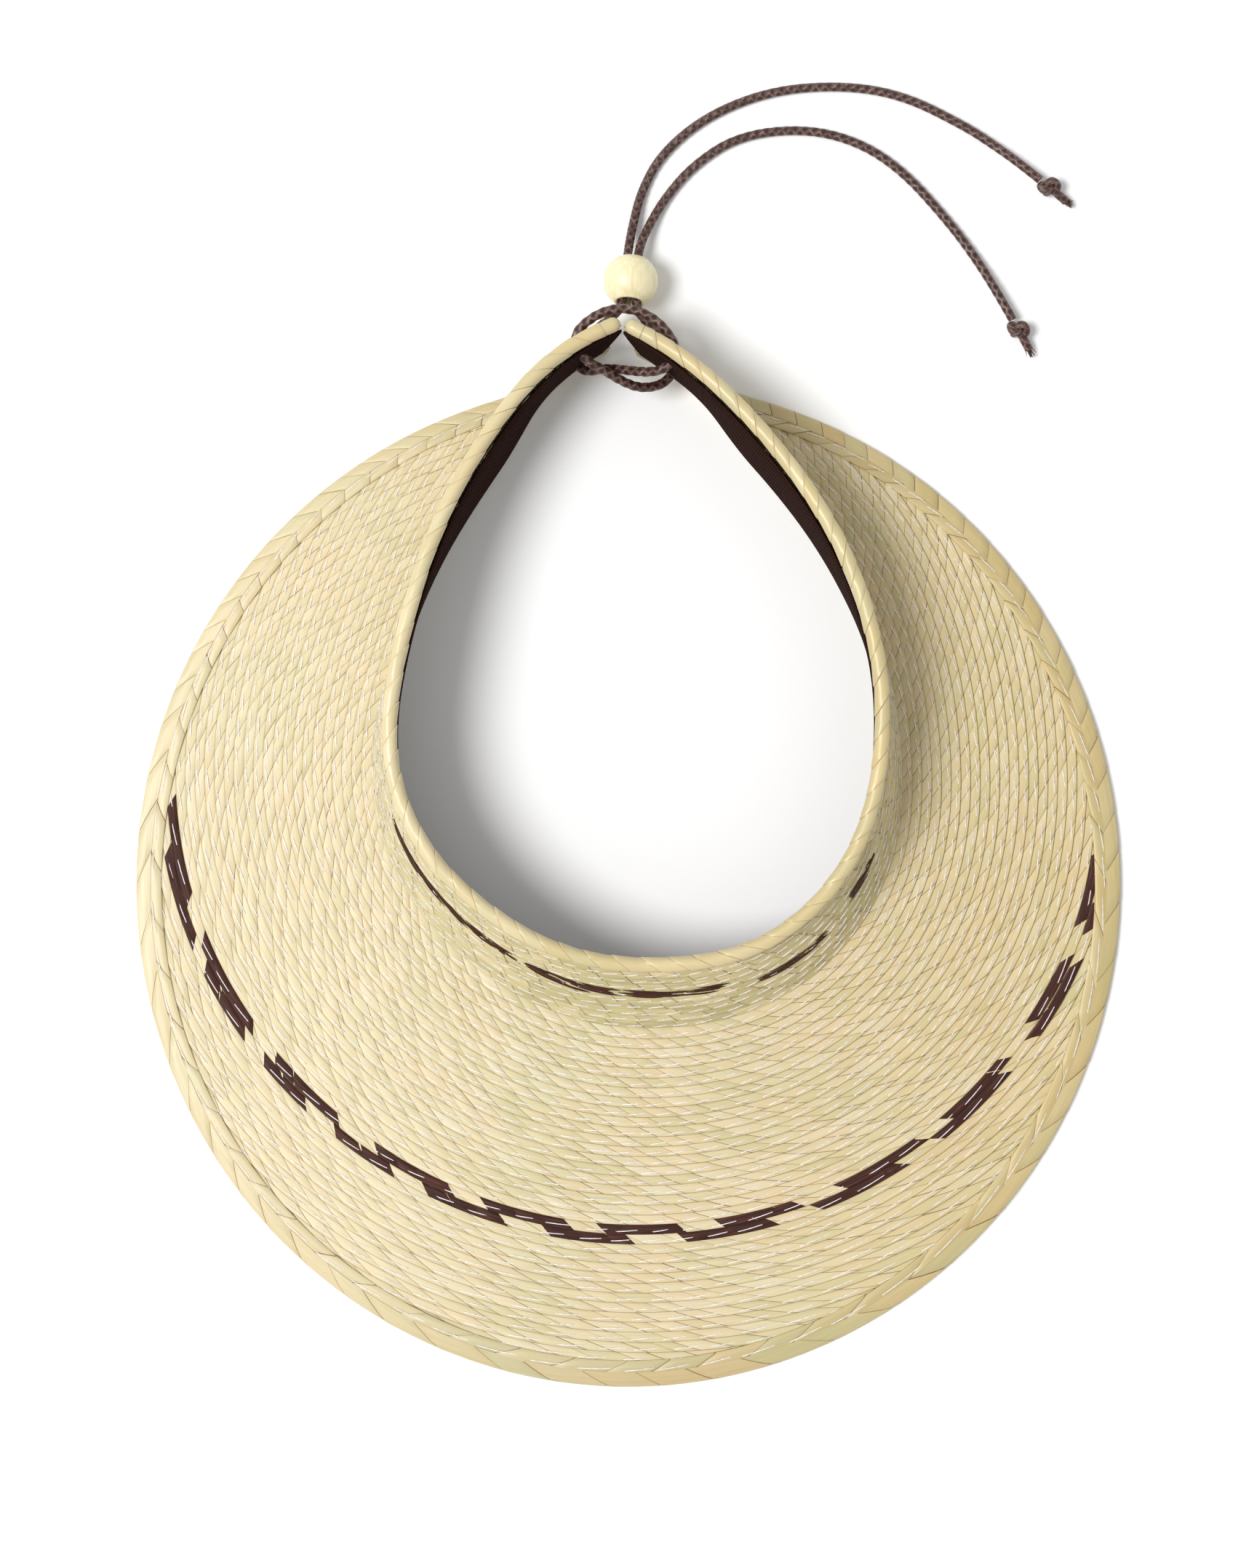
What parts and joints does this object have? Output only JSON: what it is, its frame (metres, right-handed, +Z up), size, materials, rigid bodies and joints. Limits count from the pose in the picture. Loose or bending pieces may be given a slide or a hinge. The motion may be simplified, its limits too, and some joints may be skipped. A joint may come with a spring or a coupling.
{
  "type": "sun visor",
  "caption": "Woven palm sun visor with a wide brim, an open crown band laced at the back, a wooden bead and loose cord ends.",
  "frame": {"origin": "on the floor under the middle of the visor's own box, counted without the two loose cord ends and their knots", "axes": "+Z up, +Y to the laced back of the head, +X to the right as seen from above with the back at the top"},
  "size_m": [0.3258, 0.4321, 0.0501],
  "materials": {
    "palm_braid": "braided palm leaf, matt",
    "palm_binding": "braided palm leaf, matt",
    "palm_rolled_binding": "wrapped palm leaf, slight sheen",
    "ribbon": "dark brown grosgrain",
    "dyed_palm": "dark brown dyed palm leaf",
    "thread": "white sewing thread",
    "cord": "waxed brown braided cord",
    "bead_wood": "pale varnished wood"
  },
  "bodies": {
    "visor": {"crown_braid": "palm_braid", "brim_braid": "palm_braid", "brim_edge_binding": "palm_binding", "crown_edge_binding": "palm_rolled_binding", "sweatband": "ribbon", "brim_dyed_strips": "dyed_palm", "crown_dyed_strips": "dyed_palm", "sewing_thread": "thread", "lacing": "cord", "lace_tail_outer": "cord", "lace_tail_inner": "cord", "knot_outer": "cord", "knot_inner": "cord"},
    "bead": {"bead": "bead_wood"}
  },
  "joints": [
    {"name": "bead_slide", "type": "slide", "parent": "visor", "child": "bead", "axis": [0.067, 0.9589, -0.2756], "range_m": [0, 0.004]}
  ]
}
